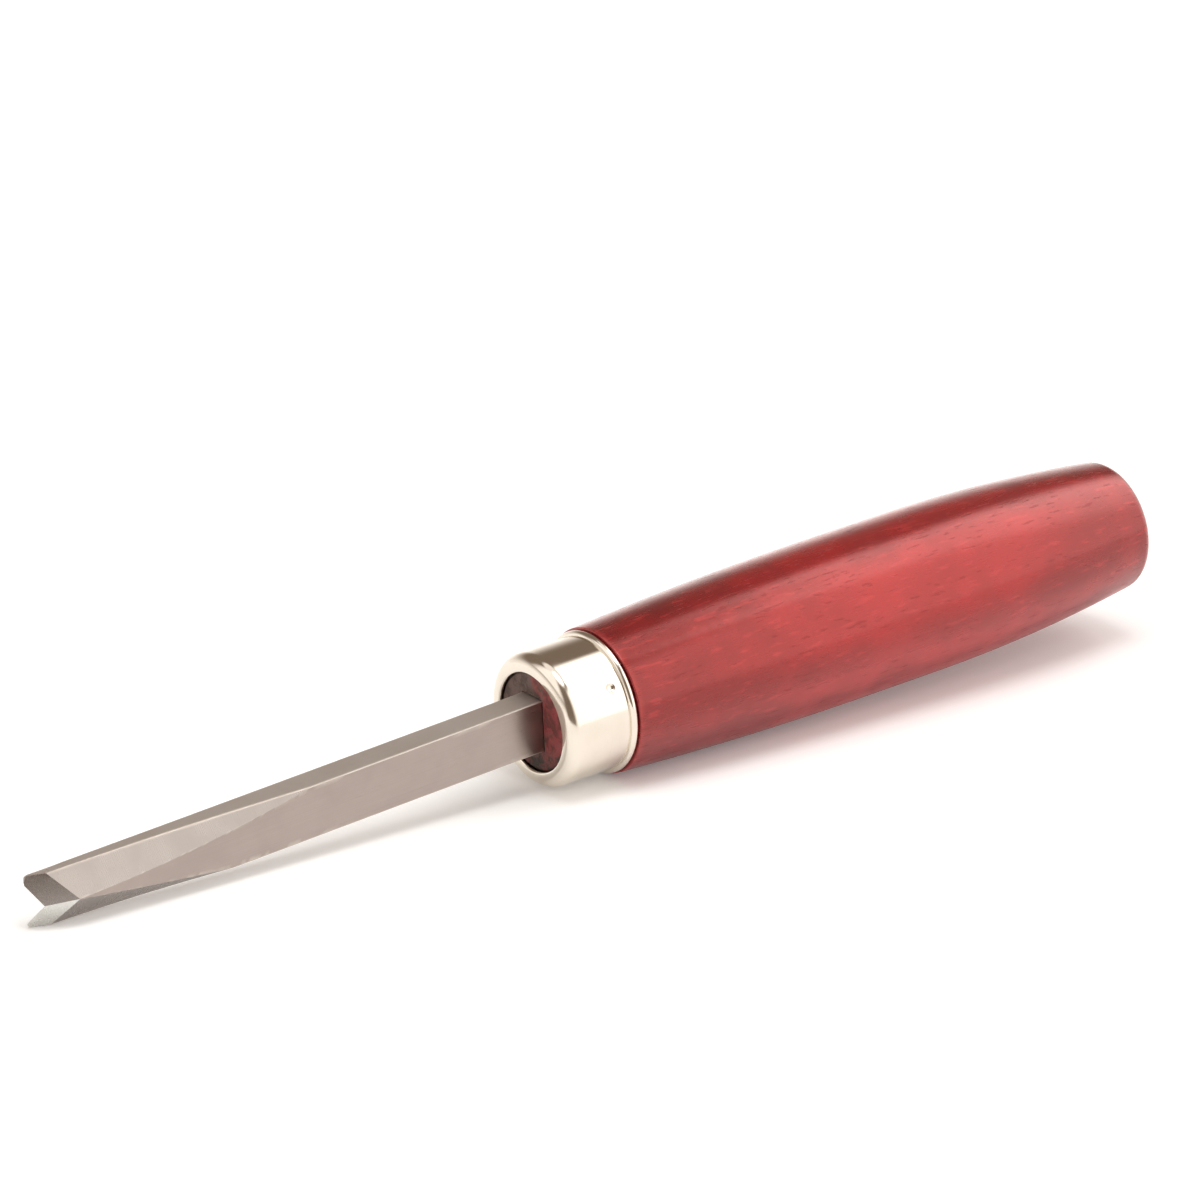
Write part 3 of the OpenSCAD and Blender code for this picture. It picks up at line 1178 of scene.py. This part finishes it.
@dataclass
class Ferrule(Piece):
    """The drawn sheet-metal cup that binds the front of the handle."""

    NAME = "ferrule_drawn"
    CREASE = 42.0
    FINISHES = [BrightPlate()]

    rim_w: float = 0.55
    bead_r: float = 0.5
    dimple_d: float = 1.2
    dimple_h: float = 0.3
    dimple_back: float = 2.6
    dimple_angle: float = 34.0
    barrel_steps: int = 56
    segments: int = 384

    def outline(self) -> Outline:
        """Draws the wall.

        Returns:
            The closed outline as pairs of X and radius.
        """
        s = self.sizes
        half, r = s.ferrule_wall / 2, s.ferrule_r
        mouth = r - s.corner_r - self.rim_w
        bead_x = s.ferrule_l - self.bead_r
        rim = arc(half, mouth + half, half, 90.0, 270.0, 12)
        corner = arc(s.corner_r, r - s.corner_r, s.corner_r, -90.0, 0.0, 20)
        barrel = [(x, r) for x in spaced(s.corner_r, bead_x - self.bead_r, self.barrel_steps, 1)[:-1]]
        bead = arc(bead_x, r, self.bead_r, -90.0, 90.0, 16)
        inside = [(s.ferrule_l, r - s.ferrule_wall)]
        inside += arc(s.corner_r, r - s.corner_r, s.corner_r - s.ferrule_wall, 0.0, -90.0, 12)
        return rim + corner + barrel + bead + inside

    def skin(self) -> Skin:
        """Turns the outline and presses the dimple in.

        Returns:
            The faces, in millimetres along the handle's axis.
        """
        skin, s = Skin(), self.sizes
        ball_r = (self.dimple_d**2 / 4 + self.dimple_h**2) / (2 * self.dimple_h)
        angle = math.radians(self.dimple_angle)
        way = Vector((0.0, -math.cos(angle), math.sin(angle)))
        foot = Vector((s.ferrule_l - self.dimple_back, 0.0, 0.0))
        centre = foot + way * (s.ferrule_r - self.dimple_h + ball_r)
        rings = []
        for x, r in self.outline():
            points = ring(x, r, self.segments)
            for point in points:
                inward = ball_r - (point - centre).length
                if r > s.ferrule_r - 0.01 and inward > 0.0:
                    point += (point - centre).normalized() * inward
            rings.append(points)
        skin.patch(rings + rings[:1], wrap=True)
        return skin


@dataclass
class Handle(Piece):
    """The turned wooden handle, with its tenon inside the ferrule and its socket for the tang."""

    NAME = "handle_turned"
    CREASE = 38.0
    FINISHES = [StainedWood(), BareWood()]

    belly_l: float = 11.0
    butt_fall: float = 2.2
    butt_edge_r: float = 1.5
    butt_edge_wear: float = 0.3
    tenon_chamfer: float = 1.65
    ferrule_gap: float = 0.05
    tang_gap: float = 0.1
    shoulder_ease: float = 0.14
    shoulder_wear_l: float = 0.5
    segments: int = 256

    def outline(self) -> list[tuple[float, float, float]]:
        """Draws the handle from the tenon's end almost to the middle of the butt.

        Returns:
            The outline as X, radius and edge wear.
        """
        s = self.sizes
        tenon_r = s.ferrule_r - s.ferrule_wall - self.ferrule_gap
        start, ease = s.ferrule_l, self.shoulder_ease
        belly_a = start + s.belly_x
        belly_b = belly_a + self.belly_l
        run = s.butt_x - belly_b
        rear_r = (run**2 + self.butt_fall**2) / (2 * self.butt_fall)
        rear_c, dome_c = Vector((belly_b, s.belly_r - rear_r)), Vector((s.butt_x - s.dome_r, 0.0))
        edge_c = self._meeting(rear_c, rear_r - self.butt_edge_r, dome_c, s.dome_r - self.butt_edge_r)
        edge_a = math.degrees(math.atan2(*(edge_c - rear_c)))
        edge_b = math.degrees(math.atan2(*(edge_c - dome_c)))
        eased = -math.degrees(math.asin((s.belly_x - ease) / s.front_r))
        chamfer_x = s.tenon_set + self.tenon_chamfer
        points = [(s.tenon_set, tenon_r - self.tenon_chamfer, 0.0), (chamfer_x, tenon_r, 0.0)]
        points += [(x, tenon_r, 0.0) for x in spaced(chamfer_x, start, 4, 1)]
        points += [(start, r, 0.0) for r in spaced(tenon_r, s.shoulder_r - ease, 3, 1)]
        sweep = arc(belly_a, s.belly_r - s.front_r, s.front_r, eased, 0.0, 46)
        a, c, b = Vector((start, s.shoulder_r - ease)), Vector((start, s.shoulder_r)), Vector(sweep[0])
        points += [(*bent(a, c, b, i / 5), 1.0) for i in range(1, 5)]
        points += [(x, r, max(0.0, 1.0 - (x - start - ease) / self.shoulder_wear_l)) for x, r in sweep]
        points += [(x, s.belly_r, 0.0) for x in spaced(belly_a, belly_b, 12, 1)[:-1]]
        points += [(x, r, 0.0) for x, r in arc(belly_b, rear_c.y, rear_r, 0.0, edge_a, 42)]
        rim = arc(edge_c.x, edge_c.y, self.butt_edge_r, edge_a, edge_b, 20)[1:]
        points += [(x, r, self.butt_edge_wear) for x, r in rim]
        points += [(x, r, 0.0) for x, r in arc(dome_c.x, 0.0, s.dome_r, edge_b, 90.0, 14)[1:-1]]
        return points

    @staticmethod
    def _meeting(a: Vector, ra: float, b: Vector, rb: float) -> Vector:
        """Where two circles cross on the outer side.

        Args:
            a: First centre, as X and radius.
            ra: First radius.
            b: Second centre.
            rb: Second radius.

        Returns:
            The crossing further from the axis.
        """
        d = b - a
        along = (d.length_squared + ra * ra - rb * rb) / (2 * d.length)
        side = math.sqrt(ra * ra - along * along)
        middle = a + d * (along / d.length)
        across = Vector((-d.y, d.x)) * (side / d.length)
        return max(middle + across, middle - across, key=lambda p: p.y)

    def socket_ring(self, x: float, gap: float) -> Row:
        """The socket's four-sided outline, on the handle's ring of points.

        Args:
            x: Where the socket is cut, along the blade's axis.
            gap: Clearance round the tang.

        Returns:
            The ring of points.
        """
        half_t, half_w = (h + gap for h in self.sizes.tang_half(x))
        lean = self.sizes.lean()
        points = []
        for way in map(Vector, around(self.segments)):
            reach = min(half_t / max(abs(way.x), 1e-9), half_w / max(abs(way.y), 1e-9))
            points.append(Vector((x, way.x * reach, way.y * reach)))
        for sy in (-1.0, 1.0):
            for sz in (-1.0, 1.0):
                corner = Vector((x, sy * half_t, sz * half_w))
                nearest = min(range(self.segments), key=lambda i: (points[i] - corner).length)
                points[nearest] = corner
        return [lean @ p for p in points]

    def skin(self) -> Skin:
        """Turns the outline and sinks the socket.

        Returns:
            The faces, in millimetres along the handle's axis.
        """
        skin, s = Skin(), self.sizes
        outline = self.outline()
        rings = [ring(x, r, self.segments) for x, r, _ in outline]
        taper_x, end_x = s.tang_span
        mouth = self.socket_ring(s.tenon_set, self.tang_gap)
        for point in mouth:
            point.x = s.tenon_set
        walls = [self.socket_ring(x, self.tang_gap) for x in (end_x + self.tang_gap, taper_x)] + [mouth]
        skin.cap(walls[0], Coating.BARE.value)
        skin.patch(walls, Coating.BARE.value, wrap=True)
        face = [[lerp(a, b, t) for a, b in zip(mouth, rings[0])] for t in spaced(0.0, 1.0, 4)]
        skin.patch(face, Coating.BARE.value, wrap=True)
        inside = sum(1 for x, r, _ in outline if x <= s.ferrule_l and r <= s.ferrule_r)
        skin.patch(rings[:inside], Coating.BARE.value, wrap=True)
        worn = [edge for _, _, edge in outline[inside - 1 :]]
        skin.patch(rings[inside - 1 :], Coating.LACQUERED.value, wrap=True, row_worn=worn)
        skin.fan(Vector((s.butt_x, 0.0, 0.0)), self.segments, Coating.LACQUERED.value)
        return skin


@dataclass(frozen=True)
class Panel:
    """A soft light of the room: its azimuth, its spread round that, and its brightness by height."""

    azimuth: float
    spread: Ramp
    heights: tuple[Ramp, ...]


@dataclass
class Studio:
    """The bench, the soft light and the camera."""

    CAMERA_AZIMUTH: ClassVar[float] = -36.70
    LOW_BACKDROP: ClassVar[Panel] = Panel(CAMERA_AZIMUTH, (0.80, 0.95, 1.0, 0.0), ((0.0, 0.5, 0.95, 0.0),))
    SOFT_FRONT: ClassVar[Panel] = Panel(50.0, (0.37, 0.88, 0.0, 1.0), ((0.76, 0.88, 1.55, 0.0),))
    TALL_SCREEN: ClassVar[Panel] = Panel(
        84.0, (0.77, 0.95, 0.0, 1.0), ((0.84, 0.92, 1.0, 0.0), (0.0, 0.8, 1.0, 2.6))
    )
    LEFT_SIDE: ClassVar[Panel] = Panel(-100.0, (0.70, 0.94, 0.0, 1.0), ((0.25, 0.45, 0.0, 1.1),))
    OVERHEAD: ClassVar[Ramp] = (0.86, 0.93, 0.0, 0.9)

    sizes: ToolSizes
    elevation: float = 22.05
    distance: float = 900.0
    focal_px: float = 7807.0
    anchor_px: tuple[float, float] = (530.0, 722.9)
    image_px: float = 1200.0
    sensor: float = 36.0
    clip: tuple[float, float] = (0.01, 100.0)
    bench_r: float = 12.0
    backdrop: Colour = (1.0, 0.99, 0.97)
    dim_room: Colour = (0.235, 0.178, 0.135)
    key_level: float = 0.22
    key_angle: float = 26.0
    key_lean: float = 9.0
    key_height: float = 1.2
    key_colour: Colour = (0.98, 1.0, 1.0)

    def anchor(self) -> Vector:
        """The middle of the ferrule's mouth in the row frame, in metres."""
        return self.sizes.laid() @ Vector((0.0, 0.0, 0.0))

    def toward(self, azimuth: float, elevation: float) -> Vector:
        """The direction at an azimuth and an elevation in degrees."""
        a, e = math.radians(azimuth), math.radians(elevation)
        return Vector((math.sin(a) * math.cos(e), -math.cos(a) * math.cos(e), math.sin(e)))

    def camera(self) -> bpy.types.Object:
        """Sets up the camera so that the anchor falls on its pixel of the square picture.

        Returns:
            The camera.
        """
        ahead = -self.toward(self.CAMERA_AZIMUTH, self.elevation)
        du = (self.anchor_px[0] - self.image_px / 2) / self.focal_px
        dv = (self.image_px / 2 - self.anchor_px[1]) / self.focal_px

        def sides(look: Vector) -> tuple[Vector, Vector]:
            """The ways to the right and up in a picture taken along a look, with no roll."""
            right = look.cross(UP).normalized()
            return right, right.cross(look)

        look = ahead.copy()
        for _ in range(30):
            right, up = sides(look)
            look = (look + ahead - (look + du * right + dv * up).normalized()).normalized()
        right, up = sides(look)
        data = bpy.data.cameras.new("camera")
        data.sensor_width = self.sensor
        data.lens = self.focal_px * self.sensor / self.image_px
        data.clip_start, data.clip_end = self.clip
        camera = bpy.data.objects.new("camera", data)
        turn = Matrix((right, up, -look)).transposed().to_4x4()
        camera.matrix_world = Matrix.Translation(self.anchor() - ahead * self.distance * MM) @ turn
        bpy.context.scene.collection.objects.link(camera)
        bpy.context.scene.camera = camera
        return camera

    def bench(self, effects: Effects) -> bpy.types.Object:
        """Lays the round white bench top under the tool.

        Args:
            effects: The shared node groups.

        Returns:
            The bench top.
        """
        bm = bmesh.new()
        bmesh.ops.create_circle(bm, cap_ends=True, segments=128, radius=self.bench_r)
        mesh = bpy.data.meshes.new("bench_top")
        bm.to_mesh(mesh)
        bm.free()
        mesh.materials.append(PaleFloor().material(effects))
        bench = bpy.data.objects.new("bench_top", mesh)
        bpy.context.scene.collection.objects.link(bench)
        return bench

    def key(self) -> bpy.types.Object:
        """Hangs the broad lamp above the bench, leaning a little.

        Returns:
            The lamp.
        """
        data = bpy.data.lights.new("overhead", "SUN")
        data.energy = math.pi * self.key_level
        data.angle = math.radians(self.key_angle)
        data.color = self.key_colour
        lamp = bpy.data.objects.new("overhead", data)
        lean = Matrix.Rotation(math.radians(self.key_lean), 4, "X")
        lamp.matrix_world = Matrix.Translation(self.anchor() + UP * self.key_height) @ lean
        bpy.context.scene.collection.objects.link(lamp)
        return lamp

    def room(self) -> bpy.types.World:
        """Surrounds the bench with a dim room and its soft lights.

        Returns:
            The world.
        """
        world = bpy.data.worlds.new("studio")
        world.use_nodes = True
        w = Wiring(world.node_tree)
        way = w.add("TexCoord").outputs["Generated"]
        height = w.add("SeparateXYZ", {0: way}).outputs[2]
        level = w.add("VectorMath", {0: w.scaled(way, (1.0, 1.0, 0.0))}, operation="NORMALIZE").outputs[0]
        white = w.ramp(height, *self.OVERHEAD)
        for panel in (self.LOW_BACKDROP, self.SOFT_FRONT, self.TALL_SCREEN, self.LEFT_SIDE):
            ahead = tuple(self.toward(panel.azimuth, 0.0))
            turned = w.add("VectorMath", {0: level, 1: ahead}, operation="DOT_PRODUCT").outputs["Value"]
            light = w.ramp(turned, *panel.spread)
            for heights in panel.heights:
                light = w.times(light, w.ramp(height, *heights))
            white = w.larger(white, light)
        scale = w.add("VectorMath", {0: self.backdrop, 3: white}, operation="SCALE").outputs[0]
        colour = w.add("VectorMath", {0: scale, 1: self.dim_room}, operation="ADD").outputs[0]
        shader = w.add("Background", {0: colour})
        w.add("OutputWorld", {0: shader.outputs[0]})
        bpy.context.scene.world = world
        return world

    def build(self, effects: Effects) -> None:
        """Sets up the camera, the bench and the light.

        Args:
            effects: The shared node groups.
        """
        bpy.context.scene.view_settings.view_transform = "Standard"
        self.camera()
        self.bench(effects)
        self.room()
        self.key()


def main() -> None:
    """Builds the tool and its studio, and reports each piece."""
    logging.basicConfig(level=logging.INFO, format="%(name)s %(message)s")
    sizes = ToolSizes()
    effects = Effects()
    pieces = {
        "blade": (Blade(sizes).build(effects), "blade_steel"),
        "ferrule": (Ferrule(sizes).build(effects), "ferrule_plate"),
        "handle": (Handle(sizes).build(effects), "handle_wood"),
    }
    for node, (piece, slot) in pieces.items():
        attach(piece, "root")
        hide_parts(node)
        LOG.info("%s stands for %s", piece.name, node)
    Studio(sizes).build(effects)


if __name__ == "__main__":
    main()
